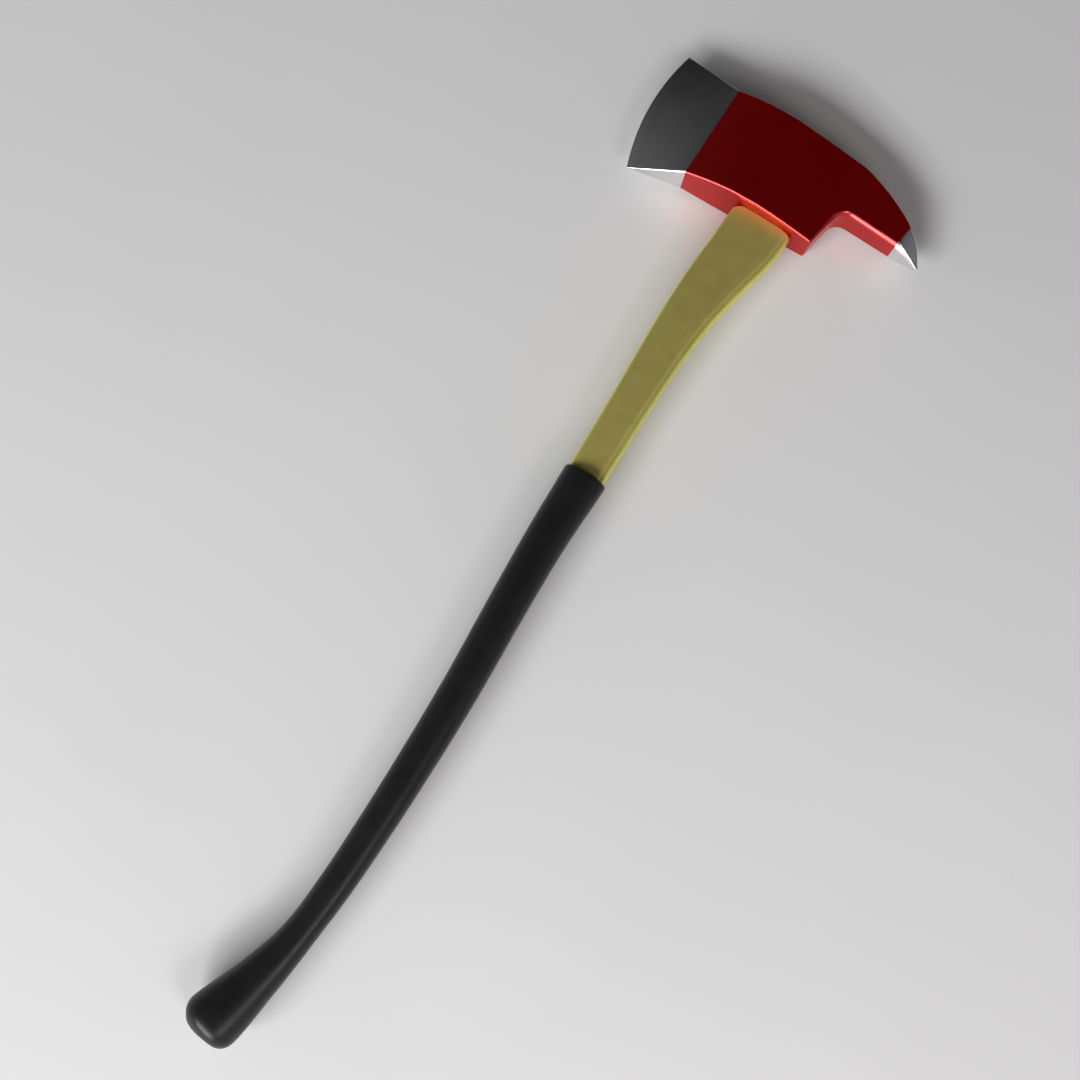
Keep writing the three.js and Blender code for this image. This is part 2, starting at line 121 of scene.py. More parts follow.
TONGUE_WIDTH = 45
TONGUE_THICKNESS = 13.4
TONGUE_CORNER_RADIUS = 5
TONGUE_CHAMFER = 0.5
GLUE_GAP = 1.5
EYE_RECESS = 0.6
EYE_MOUTH_RADIUS = 0.5
CUT_OVERSHOOT = 4  # the eye's cutter stands this far out of the head at both ends
CUT_MARGIN = 0.01  # and its flared mouths start this far outside the head

SHOULDER_WIDTH = 58.2
NECK_WIDTH = 33.6
BAR_THICKNESS = 18
SHOULDER_LEFT_ROUND = 6.6
SHOULDER_RIGHT_ROUND = 4.4
SHOULDER_EDGE_ROUND = 0.25
SHOULDER_GAP = 0.05  # from the shoulder's end to the underside
SHOULDER_TURN = 26  # the handle lies square to the head's underside at its end, and true by here
BAR_LEFT_RADIUS = 3.2
BAR_RIGHT_RADIUS = 4.2
BAR_SLOPE_WIDTH = 3.4
BAR_SLOPE_DROP = 1.2
CORE_WIDTH = 17
CORE_THICKNESS = 8.4
CORE_POWER = 2.4  # squareness of the core's oval
CORE_TOP_Y = 20  # the core follows the handle from here down, and the eye above it
DIRECTION_STEP = 4  # the handle's direction is taken over this far each way
CENTRELINE = [  # sideways offset against the share of the way to the butt
    (0, 0), (0.035, -3.2), (0.08, -9.7), (0.13, -15.2), (0.19, -18), (0.34, -20.5),
    (0.42, -22.5), (0.5, -21.9), (0.59, -20.3), (0.66, -20.7), (0.74, -22.6), (0.82, -26.3),
    (0.88, -32.2), (0.93, -41.9), (1, -59.5),
]
BAR_TAPER = [  # share of the way from neck to shoulder width, against the share down the bar
    (0, 1), (0.1, 0.95), (0.24, 0.71), (0.38, 0.44), (0.56, 0.22), (0.78, 0.07), (1, 0),
]

# ------------------------------------------------------------------ sizes of the grip

OVERALL_LENGTH = 912
GRIP_LENGTH = 540
GRIP_WALL = 3
BUTT_WALL = 9
RIM_ROUND = 1.6  # tighter than on the CAD solid, so that the rim closes round its mouth
BUTT_DOME = 17
DOME_POWER = 2.6
SEAT_LENGTH = 30  # the bar turns into the grip's oval over this length
CORE_SETBACK = 12
GRIP_POWER = 2.2  # squareness of the grip's oval
LIP = 0.8  # the mouth's inner edge is eased by this much
LIP_TURN = 0.3  # share of the lip where its slope changes
BORE_END_GAP = 1  # the bore's last full ring stays this far above its blind end
BORE_END_STEP = 0.4
HUB_STEP = 0.2  # from a domed end to its last ring
GRIP_WIDTHS = [  # against the share of the way from the rim to the butt
    (0, 39.7), (0.12, 36), (0.23, 34.1), (0.48, 31.4), (0.73, 28.4), (0.81, 28.1),
    (0.89, 36.4), (0.96, 47.4), (1, 50),
]
GRIP_THICKNESSES = [
    (0, 34), (0.2, 31.5), (0.5, 29.5), (0.75, 28), (0.83, 29.5), (0.9, 35), (0.96, 43), (1, 46),
]

BUTT_Y = CROWN_HEIGHT - OVERALL_LENGTH
RIM_Y = BUTT_Y + GRIP_LENGTH
JACKET_END_Y = BUTT_Y + BUTT_WALL
CORE_END_Y = JACKET_END_Y + CORE_SETBACK

# ------------------------------------------------------------------ small maths


def clamp01(t):
    return min(1.0, max(0.0, t))


def mix(a, b, t):
    return a + (b - a) * t


def ease(t):
    t = clamp01(t)
    return t * t * (3 - 2 * t)


def spaced(start, end, count):
    return [mix(start, end, i / count) for i in range(count + 1)]


def smooth_through(points):
    """A smooth curve y(x) through a list of (x, y) points, with x rising."""
    last = len(points) - 1
    slopes = []
    for i in range(last + 1):
        before, after = points[max(0, i - 1)], points[min(last, i + 1)]
        slopes.append((after[1] - before[1]) / (after[0] - before[0]))

    def at(x):
        i = 0
        while i < last - 1 and points[i + 1][0] < x:
            i += 1
        span = points[i + 1][0] - points[i][0]
        t = clamp01((x - points[i][0]) / span)
        rise = points[i + 1][1] - points[i][1]
        bend = (1 - t) * (slopes[i] * span - rise) - t * (slopes[i + 1] * span - rise)
        return points[i][1] + rise * t + t * (1 - t) * bend

    return at


def dome(distance, length, power):
    """The share of full size that a domed end has at a distance from its pole."""
    return (1 - (1 - clamp01(distance / length)) ** power) ** (1 / power)


def rounding(distance, radius):
    """How far an end rounded to a radius draws in, at a distance from that end."""
    return radius * (1 - dome(distance, radius, 2))


def row_point(x, y, z):
    """A point of the eye frame, in metres in the row frame."""
    return Vector((EYE_X + x * MM, UNDERSIDE_Y + y * MM, z * MM))


# ------------------------------------------------------------------ mesh density

HEAD_STEPS = {
    "bit": 26, "body": 60, "corner": 8, "wall": 12, "notch": 16, "pick": 26, "tip": 22,
}
EDGE_STEPS = 6
CHEEK_ROWS = [0, 0.004, *spaced(0.03, 0.97, 22), 0.996, 1]  # closer together at the edges
WALL_ROWS = [-1, -0.94, -0.4, 0, 0.4, 0.94, 1]
BAR_CORNER_STEPS = 8
BAR_FACE_STEPS = 6
THIRDS = (0.33, 0.67)
TONGUE_ROWS = (0.8, 0.6, 0.4, 0.2, 0.05)
MOUTH_STEPS = 6
CORE_STEPS = 70
JACKET_STEPS = {"shoulder": 14, "bar": 80, "seat": 10, "sleeve": 60, "end": 8}
GRIP_STEPS = {"rim": 8, "sleeve": 150, "butt": 14}

SHARP_ANGLE = 35  # degrees between two faces, over which their edge is drawn sharp
BIT_SHARP_ANGLE = 12
TIP_SHARP_ANGLE = 30

# ------------------------------------------------------------------ mesh building


def add_piece(name, mesh, replaced, material, sharp_angle=SHARP_ANGLE):
    piece = bpy.data.objects.new(name, mesh)
    bpy.context.collection.objects.link(piece)
    mesh.materials.clear()
    mesh.materials.append(material)
    shade(mesh, sharp_angle)
    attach(piece, "root")
    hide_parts(replaced)
    return piece


def shade(mesh, sharp_angle):
    """Smooth shading that stays sharp where two faces meet at more than the angle."""
    limit = math.radians(sharp_angle)
    bm = bmesh.new()
    bm.from_mesh(mesh)
    bmesh.ops.recalc_face_normals(bm, faces=bm.faces)
    for face in bm.faces:
        face.smooth = True
    for edge in bm.edges:
        edge.smooth = len(edge.link_faces) == 2 and edge.calc_face_angle(0) < limit
    bm.to_mesh(mesh)
    bm.free()


def mesh_of(name, points, faces):
    mesh = bpy.data.meshes.new(name)
    mesh.from_pydata([tuple(p) for p in points], [], faces)
    mesh.update()
    return mesh


def loft(name, rings, closed=True):
    """A mesh through rings of the same number of points, with a fan in each end if closed."""
    count = len(rings[0])
    points = [point for ring in rings for point in ring]
    faces = []
    for r in range(len(rings) - 1):
        here, above = r * count, (r + 1) * count
        for i in range(count):
            j = (i + 1) % count
            faces.append((here + i, here + j, above + j, above + i))
    for first in (0, (len(rings) - 1) * count) if closed else ():
        hub = len(points)
        points.append(sum((points[first + i] for i in range(count)), Vector()) / count)
        faces += [(first + i, first + (i + 1) % count, hub) for i in range(count)]
    return mesh_of(name, points, faces)


def tube(name, outer, inner):
    """A closed mesh with an outer and an inner skin, joined round their first rings."""
    mesh = bpy.data.meshes.new(name)
    bm = bmesh.new()
    skins = []
    for rings in (outer, inner):
        rows = [[bm.verts.new(point) for point in ring] for ring in rings]
        skins.append(rows)
        for above, below in zip(rows, rows[1:]):
            for i in range(len(above)):
                bm.faces.new((above[i - 1], above[i], below[i], below[i - 1]))
        hub = bm.verts.new(sum((v.co for v in rows[-1]), Vector()) / len(rows[-1]))
        for i in range(len(rows[-1])):
            bm.faces.new((rows[-1][i - 1], rows[-1][i], hub))
    mouth, bore = skins[0][0], skins[1][0]
    for i in range(len(mouth)):
        bm.faces.new((mouth[i - 1], mouth[i], bore[i], bore[i - 1]))
    bm.to_mesh(mesh)
    bm.free()
    return mesh


def cut_out(mesh, cutter):
    """The first mesh with the second cut out of it."""
    whole = bpy.data.objects.new("whole", mesh)
    knife = bpy.data.objects.new("knife", cutter)
    for part in (whole, knife):
        bpy.context.collection.objects.link(part)
        shade(part.data, SHARP_ANGLE)
    cut = whole.modifiers.new("cut", "BOOLEAN")
    cut.operation = "DIFFERENCE"
    cut.solver = "EXACT"
    cut.object = knife
    bpy.context.view_layer.update()
    finished = whole.evaluated_get(bpy.context.evaluated_depsgraph_get())
    result = bpy.data.meshes.new_from_object(finished)
    for part in (whole, knife):
        bpy.data.objects.remove(part)
    return result


# ------------------------------------------------------------------ head outline


def pick_low_y(x):
    corner_x = LUG_REACH + NOTCH_LEAN * PICK_ROOT_HEIGHT
    return PICK_ROOT_HEIGHT - PICK_DROOP * (x - corner_x)


def tip_low_y(x):
    return pick_low_y(TIP_LINE_X) - TIP_DROOP * (x - TIP_LINE_X)


POINT_HIGH_Y = tip_low_y(PICK_REACH) + TIP_HEIGHT
crown_offset = smooth_through(CROWN_OUTLINE + [(PICK_REACH, POINT_HIGH_Y - CROWN_HEIGHT)])


def crown_y(x):
    return CROWN_HEIGHT + crown_offset(x)


def half_thickness(x):
    """Half the head's thickness, from the bit line to the point of the pick."""
    if x < CHEEK_FLAT_START:
        fall = clamp01((CHEEK_FLAT_START - x) / (CHEEK_FLAT_START + BIT_LINE_REACH))
        return mix(EYE_THICKNESS, BIT_LINE_THICKNESS, fall ** BIT_FALL_POWER) / 2
    if x < LUG_REACH:
        fall = clamp01((x - CHEEK_FLAT_END) / (LUG_REACH - CHEEK_FLAT_END))
        return mix(EYE_THICKNESS, LUG_THICKNESS, fall ** LUG_FALL_POWER) / 2
    if x < TIP_LINE_X:
        along = (x - LUG_REACH) / (TIP_LINE_X - LUG_REACH)
        return mix(LUG_THICKNESS, PICK_THICKNESS, along) / 2
    to_point = clamp01((x - TIP_LINE_X) / TIP_LENGTH)
    return mix(PICK_THICKNESS, TIP_THICKNESS, to_point ** TIP_TAPER_POWER) / 2


def underside_y(x):
    """The underside arches up a little where the head is thick."""
    lowest = min(BIT_LINE_THICKNESS, LUG_THICKNESS) / 2
    return EYE_ARCH * clamp01((half_thickness(x) - lowest) / (EYE_THICKNESS / 2 - lowest))


def flat_line(start, end, steps):
    return [start.lerp(end, i / steps) for i in range(steps + 1)]


def flat_curve(start_x, end_x, height, steps):
    return [Vector((x, height(x))) for x in spaced(start_x, end_x, steps)]


def rounded_corner(corner, into, out, radius, steps):
    """An arc of the given radius that rounds the corner between two directions."""
    turn = into.angle(out)
    side = math.copysign(1, into.x * out.y - into.y * out.x)
    start = corner - into * radius * math.tan(turn / 2)
    centre = start + Vector((-into.y, into.x)) * side * radius
    arm = start - centre
    return [centre + Matrix.Rotation(side * turn * i / steps, 2) @ arm for i in range(steps + 1)]


def bit_shares():
    """Shares of the way from the cutting edge to the bit line, with one inside the honed bevel."""
    honed = HONED_WIDTH / (EDGE_REACH - BIT_LINE_REACH)
    return [0, honed / 2, *spaced(honed, 1, HEAD_STEPS["bit"] - 2)]


def joined(stretches):
    points = list(stretches[0])
    for stretch in stretches[1:]:
        points += stretch[1:]
    return points


def lug_and_notch():
    """The rounded lug corner and the rounded notch corner behind it."""
    wall_way = Vector((NOTCH_LEAN, 1)).normalized()
    pick_way = Vector((1, -PICK_DROOP)).normalized()
    lug_corner = Vector((LUG_REACH, 0))
    notch_corner = Vector((LUG_REACH + NOTCH_LEAN * PICK_ROOT_HEIGHT, PICK_ROOT_HEIGHT))
    corner = rounded_corner(
        lug_corner, Vector((1, 0)), wall_way, LUG_CORNER_RADIUS, HEAD_STEPS["corner"])
    notch = rounded_corner(notch_corner, wall_way, pick_way, NOTCH_RADIUS, HEAD_STEPS["notch"])
    return corner, notch


def head_outline():
    """Matched stations of the underside and the crown, from the cutting edge to the point."""
    steps = HEAD_STEPS
    heel = Vector((-EDGE_REACH + EDGE_LEAN * EDGE_LENGTH / 2, -HEEL_DROP))
    toe = Vector((-EDGE_REACH - EDGE_LEAN * EDGE_LENGTH / 2, EDGE_LENGTH - HEEL_DROP))
    bit_low = Vector((-BIT_LINE_REACH, 0))
    bit_high_x = -BIT_LINE_REACH + BIT_LINE_LEAN * CROWN_HEIGHT
    bit_high = Vector((bit_high_x, crown_y(bit_high_x)))
    corner, notch = lug_and_notch()
    tip_low = Vector((TIP_LINE_X, pick_low_y(TIP_LINE_X)))
    tip_high_x = TIP_LINE_X + TIP_LEAN * (crown_y(TIP_LINE_X) - tip_low.y)
    point_low = Vector((PICK_REACH - POINT_SLANT, tip_low_y(PICK_REACH)))
    low = joined([
        [heel.lerp(bit_low, share) for share in bit_shares()],
        flat_curve(bit_low.x, corner[0].x, underside_y, steps["body"]),
        corner,
        flat_line(corner[-1], notch[0], steps["wall"]),
        notch,
        flat_line(notch[-1], tip_low, steps["pick"]),
        flat_line(tip_low, point_low, steps["tip"]),
    ])
    high = joined([
        [toe.lerp(bit_high, share) for share in bit_shares()],
        flat_curve(bit_high.x, corner[0].x, crown_y, steps["body"]),
        flat_curve(corner[0].x, corner[-1].x, crown_y, steps["corner"]),
        flat_curve(corner[-1].x, notch[0].x, crown_y, steps["wall"]),
        flat_curve(notch[0].x, notch[-1].x, crown_y, steps["notch"]),
        flat_curve(notch[-1].x, tip_high_x, crown_y, steps["pick"]),
        flat_curve(tip_high_x, PICK_REACH, crown_y, steps["tip"]),
    ])
    return low, high


def inwards(points, side):
    """Unit vectors square to a row of points, to its left for side 1 and its right for -1."""
    last = len(points) - 1
    found = []
    for i in range(last + 1):
        along = (points[min(last, i + 1)] - points[max(0, i - 1)]).normalized()
        found.append(Vector((-along.y * side, along.x * side)))
    return found


LOW, HIGH = head_outline()
LOW_INWARDS, HIGH_INWARDS = inwards(LOW, 1), inwards(HIGH, -1)
BIT_END = HEAD_STEPS["bit"]
LUG_END = BIT_END + HEAD_STEPS["body"] + HEAD_STEPS["corner"]
TIP_START = len(LOW) - 1 - HEAD_STEPS["tip"]
PICK_START = TIP_START - HEAD_STEPS["pick"]

# ------------------------------------------------------------------ head sections


def to_pick(station):
    return ease((station - LUG_END) / (PICK_START - LUG_END))


def edge_radius(station):
    if station <= BIT_END:
        return mix(CUTTING_EDGE_RADIUS, BIT_EDGE_RADIUS, station / BIT_END)
    if station > TIP_START:
        to_point = (station - TIP_START) / HEAD_STEPS["tip"]
        return mix(TIP_EDGE_RADIUS, POINT_EDGE_RADIUS, to_point)
    if station > PICK_START:
        along = (station - PICK_START) / HEAD_STEPS["pick"]
        return mix(PICK_EDGE_RADIUS, TIP_EDGE_RADIUS, along)
    return mix(BODY_EDGE_RADIUS, PICK_EDGE_RADIUS, to_pick(station))


def edge_profile(radius, flatness):
    """How far in and down an edge's surface lies, from the wall to the cheek."""
    profile = []
    for i in range(EDGE_STEPS + 1):
        share = i / EDGE_STEPS
        turn = math.pi / 2 * share
        inset = mix(1 - math.cos(turn), share, flatness)
        drop = mix(1 - math.sin(turn), 1 - share, flatness)
        profile.append((radius * inset, radius * drop))
    return profile


def honed_slope():
    """Rise of the honed bevel, which meets the ground wedge at its inner end."""
    wedge_slope = (BIT_LINE_THICKNESS - EDGE_THICKNESS) / 2 / (EDGE_REACH - BIT_LINE_REACH)
    return (EDGE_THICKNESS / 2 + HONED_WIDTH * wedge_slope - HONED_EDGE) / HONED_WIDTH


def bit_half_thickness(across, to_bit_line):
    bit_line_half = half_thickness(mix(LOW[BIT_END].x, HIGH[BIT_END].x, across))
    wedge = mix(EDGE_THICKNESS / 2, bit_line_half, to_bit_line)
    from_edge = to_bit_line * (EDGE_REACH - BIT_LINE_REACH)
    return min(wedge, HONED_EDGE + from_edge * honed_slope())


def head_ring(station, inset_by):
    """The head's section at a station: up the underside, over a cheek, down the crown, back."""
    to_bit_line = bit_shares()[min(station, BIT_END)]

    def place(inset, across, drop):
        low = LOW[station] + LOW_INWARDS[station] * (inset + inset_by)
        high = HIGH[station] + HIGH_INWARDS[station] * (inset + inset_by)
        point = low.lerp(high, across)
        half = half_thickness(point.x)
        if station < BIT_END:
            half = bit_half_thickness(across, to_bit_line)
        point.x -= EDGE_SAGITTA * (1 - to_bit_line) * (1 - (2 * across - 1) ** 2)
        return point, max(half - inset_by, HONED_EDGE) - drop

    radius = edge_radius(station)
    crown_radius = min(radius, BODY_EDGE_RADIUS)
    flatness = mix(BODY_EDGE_FLATNESS, PICK_EDGE_FLATNESS, to_pick(station))
    top = [place(inset, 0, drop) for inset, drop in edge_profile(radius, flatness)]
    top += [place(mix(radius, crown_radius, row), row, 0) for row in CHEEK_ROWS[1:-1]]
    top += [place(inset, 1, drop) for inset, drop in reversed(edge_profile(crown_radius, 0))]
    low_wall = [(top[0][0], top[0][1] * share) for share in WALL_ROWS[1:-1]]
    high_wall = [(top[-1][0], -top[-1][1] * share) for share in WALL_ROWS[1:-1]]
    under = [(point, -half) for point, half in reversed(top)]
    return [row_point(p.x, p.y, MIDDLE + z) for p, z in low_wall + top + high_wall + under]


def head_part(name, first, last, inset_by):
    rings = [head_ring(station, inset_by) for station in range(first, last + 1)]
    return zipped(loft(name, rings, closed=False), len(rings[0]), len(rings))


def zipped(mesh, count, rings):
    """Closes both ends of a head part with faces from its upper cheek to its lower one."""
    bm = bmesh.new()
    bm.from_mesh(mesh)
    bm.verts.ensure_lookup_table()
    walls = len(WALL_ROWS) - 2
    tops = (count - 2 * walls) // 2
    for first in (0, (rings - 1) * count):
        upper = [first + walls + i for i in range(tops)]
        lower = [first + count - 1 - i for i in range(tops)]
        for i in range(tops - 1):
            quad = [upper[i], upper[i + 1], lower[i + 1], lower[i]]
            bm.faces.new([bm.verts[v] for v in quad])
        for side, end in ((0, 0), (tops - 1, walls + tops)):
            wall = [first + end + i for i in range(walls)]
            ends = [upper[side], lower[side]] if side else [lower[side], upper[side]]
            bm.faces.new([bm.verts[v] for v in [ends[0], *wall, ends[1]]])
    bm.to_mesh(mesh)
    bm.free()
    return mesh


# ------------------------------------------------------------------ handle sections

centre_offset = smooth_through(CENTRELINE)
bar_share = smooth_through(BAR_TAPER)
grip_width_at = smooth_through(GRIP_WIDTHS)
grip_thickness_at = smooth_through(GRIP_THICKNESSES)


def centre(y):
    return Vector((centre_offset(clamp01(y / BUTT_Y)), y))


def direction(y):
    return (centre(y + DIRECTION_STEP) - centre(y - DIRECTION_STEP)).normalized()


def arc(centre_x, centre_z, radius, start):
    """A quarter turn of points, anticlockwise from the start angle in degrees."""
    points = []
    for i in range(BAR_CORNER_STEPS + 1):
        angle = math.radians(start + 90 * i / BAR_CORNER_STEPS)
        points.append((centre_x + radius * math.cos(angle), centre_z + radius * math.sin(angle)))
    return points


def flat_bar(left, right, half_height, left_radius, right_radius, slope_width, slope_drop=0):
    """Section points of a flat bar, anticlockwise from the middle of its right side.

    Its corners are rounded, and its faces may slope down before the right corners.
    """
    foot, corner_z = right - right_radius, half_height - slope_drop - right_radius
    start, end = foot - slope_width, left_radius - left
    left_z = half_height - left_radius
    upper = [(right, corner_z * share) for share in (0, *THIRDS)]
    upper += arc(foot, corner_z, right_radius, 0)
    for share in (*THIRDS, 1):
        upper.append((foot - slope_width * share, half_height - slope_drop * (1 - share)))
    upper += [(x, half_height) for x in spaced(start, end, BAR_FACE_STEPS)[1:-1]]
    upper += arc(end, left_z, left_radius, 90)
    upper += [(-left, left_z * share) for share in reversed(THIRDS)]
    return upper + [(-left, 0)] + [(x, -z) for x, z in reversed(upper[1:])]


def plain_bar(half_width, half_height, radius):
    return flat_bar(half_width, half_width, half_height, radius, radius, half_width / 2)


SECTION_POINTS = len(plain_bar(4, 2, 1))  # every section has as many, whatever its size


def oval(half_width, half_height, power=GRIP_POWER):
    """Section points of an oval, as many as flat_bar's and in the same order."""
    points = []
    for i in range(SECTION_POINTS):
        angle = 2 * math.pi * i / SECTION_POINTS
        c, s = math.cos(angle), math.sin(angle)
        points.append((
            half_width * math.copysign(abs(c) ** (2 / power), c),
            half_height * math.copysign(abs(s) ** (2 / power), s),
        ))
    return points


def along_handle(y, section, top_y=None):
    """A section laid square across the handle at height y, in metres in the row frame."""
    along = Vector((0, 1)).lerp(direction(y), ease(-y / SHOULDER_TURN)).normalized()
    ring = []
    for across, up in section:
        point = centre(y) + Vector((along.y, -along.x)) * across
        if top_y:
            point.y += top_y(point.x) * clamp01(1 + y / SHOULDER_WIDTH)
        ring.append(row_point(point.x, point.y, MIDDLE + up))
    return ring


def rounded_end(end, length, side, steps):
    """Heights from an end inwards, closer together at the end."""
    turns = [math.pi / 2 * i / steps for i in range(steps + 1)]
    return [end + side * length * (1 - math.cos(turn)) for turn in turns]


# ------------------------------------------------------------------ grip and jacket


def grip_half_sizes(y):
    share = clamp01((RIM_Y - y) / GRIP_LENGTH)
    full = dome(y - BUTT_Y - SKIN, BUTT_DOME, DOME_POWER)
    rim = rounding(RIM_Y - y, RIM_ROUND)
    return grip_width_at(share) / 2 * full - rim, grip_thickness_at(share) / 2 * full - rim


def jacket_section(y, grown=0.0):
    """The bar's section above the rim, which turns into the grip's oval below it."""
    seat = ease((RIM_Y - y) / SEAT_LENGTH)
    full = dome(y - JACKET_END_Y, BUTT_DOME, DOME_POWER)
    inside_y = min(RIM_Y - RIM_ROUND, max(y, BUTT_Y + BUTT_DOME))
    grip_width, grip_thickness = grip_half_sizes(inside_y)
    bar_width = mix(NECK_WIDTH, SHOULDER_WIDTH, bar_share(clamp01(y / RIM_Y))) / 2
    skin = grown - SKIN
    bar = flat_bar(
        (bar_width - rounding(-y, SHOULDER_LEFT_ROUND)) * full + skin,
        (bar_width - rounding(-y, SHOULDER_RIGHT_ROUND)) * full + skin,
        (BAR_THICKNESS / 2 - rounding(-y, SHOULDER_EDGE_ROUND)) * full + skin,
        BAR_LEFT_RADIUS * full + grown,
        BAR_RIGHT_RADIUS * full + grown,
        BAR_SLOPE_WIDTH,
        BAR_SLOPE_DROP * full,
    )
    seated = oval(
        (grip_width - GRIP_WALL) * full + skin, (grip_thickness - GRIP_WALL) * full + skin)
    return [(mix(a[0], b[0], seat), mix(a[1], b[1], seat)) for a, b in zip(bar, seated)]


def jacket_heights():
    steps = JACKET_STEPS
    seat_end = RIM_Y - SEAT_LENGTH
    return [
        *rounded_end(0, SHOULDER_LEFT_ROUND, -1, steps["shoulder"]),
        *spaced(-SHOULDER_LEFT_ROUND, RIM_Y, steps["bar"])[1:],
        *spaced(RIM_Y, seat_end, steps["seat"])[1:],
        *spaced(seat_end, JACKET_END_Y + BUTT_DOME, steps["sleeve"])[1:],
        *rounded_end(JACKET_END_Y, BUTT_DOME, 1, steps["end"])[-2:0:-1],
        JACKET_END_Y + HUB_STEP,
    ]


def handle_jacket_mesh():
    def meet_head(x):
        return underside_y(x) - SHOULDER_GAP

    outer = tongue_rings()
    outer += [along_handle(y, jacket_section(y), meet_head) for y in jacket_heights()]
    bore = core_rings(CLEARANCE, spaced(CORE_TOP_Y, CORE_END_Y, CORE_STEPS))
    return tube("handle_jacket_moulding", outer, bore)


def grip_section(y):
    width, thickness = grip_half_sizes(y)
    return oval(width - SKIN, thickness - SKIN)


def rubber_grip_mesh():
    butt = BUTT_Y + SKIN
    outer_heights = [
        *rounded_end(RIM_Y, RIM_ROUND, -1, GRIP_STEPS["rim"]),
        *spaced(RIM_Y - RIM_ROUND, BUTT_Y + BUTT_DOME, GRIP_STEPS["sleeve"])[1:],
        *rounded_end(butt, BUTT_DOME, 1, GRIP_STEPS["butt"])[-2:0:-1],
        butt + HUB_STEP,
    ]
    outer = [along_handle(y, grip_section(y)) for y in outer_heights]
    return tube("rubber_grip_moulding", outer, grip_bore_rings())


def grip_bore_rings():
    """The grip's bore, from its eased mouth down over the jacket's end."""
    room = SKIN + CLEARANCE
    lowest = JACKET_END_Y + BORE_END_GAP
    heights = [y for y in jacket_heights() if lowest < y < RIM_Y - LIP]
    turned = LIP * LIP_TURN
    return [
        along_handle(RIM_Y, jacket_section(RIM_Y, room + LIP)),
        along_handle(RIM_Y - turned, jacket_section(RIM_Y, room + turned)),
        along_handle(RIM_Y - LIP, jacket_section(RIM_Y - LIP, room)),
        *[along_handle(y, jacket_section(y, room)) for y in heights],
        along_handle(JACKET_END_Y, jacket_section(JACKET_END_Y + BORE_END_STEP, room)),
    ]


# ------------------------------------------------------------------ tongue, core and eye


def eye_ring(half_width, half_height, radius, height):
    """A rounded rectangle across the eye, its height along the handle a function of x."""
    section = plain_bar(half_width, half_height, radius)
    return [row_point(x, height(x), MIDDLE + z) for x, z in section]


def tongue_end_y(x):
    return crown_y(x) - EYE_RECESS - SKIN


def tongue_rings():
    """From the end of the tongue down to its foot at the shoulder."""
    half_width, half_height = TONGUE_WIDTH / 2 - SKIN, TONGUE_THICKNESS / 2 - SKIN
    corner = TONGUE_CORNER_RADIUS

    def chamfered_y(x):
        return tongue_end_y(x) - TONGUE_CHAMFER

    def full_ring(height):
        return eye_ring(half_width, half_height, corner, height)

    end = eye_ring(
        half_width - TONGUE_CHAMFER, half_height - TONGUE_CHAMFER, corner - TONGUE_CHAMFER,
        tongue_end_y)
    rings = [end, full_ring(chamfered_y)]
    for share in TONGUE_ROWS:
        rings.append(full_ring(lambda x, share=share: mix(underside_y(x), chamfered_y(x), share)))
    rings.append(full_ring(lambda x: underside_y(x) - SHOULDER_GAP))
    return rings


def core_rings(grown, heights):
    section = oval(CORE_WIDTH / 2 + grown, CORE_THICKNESS / 2 + grown, CORE_POWER)
    mouth = [row_point(across, tongue_end_y(across), MIDDLE + up) for across, up in section]
    return [mouth] + [along_handle(y, section) for y in heights]


def eye_cutter():
    """The eye's tunnel, with a rounded mouth at the crown and at the underside."""
    half_width = TONGUE_WIDTH / 2 + GLUE_GAP
    half_height = TONGUE_THICKNESS / 2 + GLUE_GAP
    corner = TONGUE_CORNER_RADIUS + GLUE_GAP
    radius = EYE_MOUTH_RADIUS
    turns = [math.pi / 2 * i / MOUTH_STEPS for i in range(MOUTH_STEPS + 1)]
    rings = []

    def ring(turn, height):
        flare = radius * (1 - math.sin(turn))
        rings.append(eye_ring(half_width + flare, half_height + flare, corner + flare, height))

    def depth(turn):
        return radius * (1 - math.cos(turn))

    ring(0, lambda x: underside_y(x) - CUT_OVERSHOOT)
    for turn in turns:
        ring(turn, lambda x, turn=turn: underside_y(x) - CUT_MARGIN + depth(turn))
    for turn in reversed(turns):
        ring(turn, lambda x, turn=turn: crown_y(x) + CUT_MARGIN - depth(turn))
    ring(0, lambda x: crown_y(x) + CUT_OVERSHOOT)
    return loft("eye_cutter", rings)


# ------------------------------------------------------------------ shader nodes

NOISE_LOW, NOISE_HIGH = 0.3, 0.7  # the range that a noise's values mostly keep to
COLOUR_A, COLOUR_B, COLOUR_RESULT = 6, 7, 2  # a mix node's sockets for colours


def map_range(tree, value, from_low, from_high, to_low, to_high):
    """Carries one range of a value to another range."""
    node = tree.nodes.new("ShaderNodeMapRange")
    node.inputs["From Min"].default_value = from_low
    node.inputs["From Max"].default_value = from_high
    node.inputs["To Min"].default_value = to_low
    node.inputs["To Max"].default_value = to_high
    tree.links.new(value, node.inputs["Value"])
    return node


def colour_ramp(tree, value, stops):
    """A colour ramp through (position, (r, g, b)) stops."""
    ramp = tree.nodes.new("ShaderNodeValToRGB")
    elements = ramp.color_ramp.elements
    while len(elements) < len(stops):
        elements.new(0.5)
    for element, (position, colour) in zip(elements, stops):
        element.position = position
        element.color = (*colour, 1)
    tree.links.new(value, ramp.inputs["Fac"])
    return ramp.outputs["Color"]


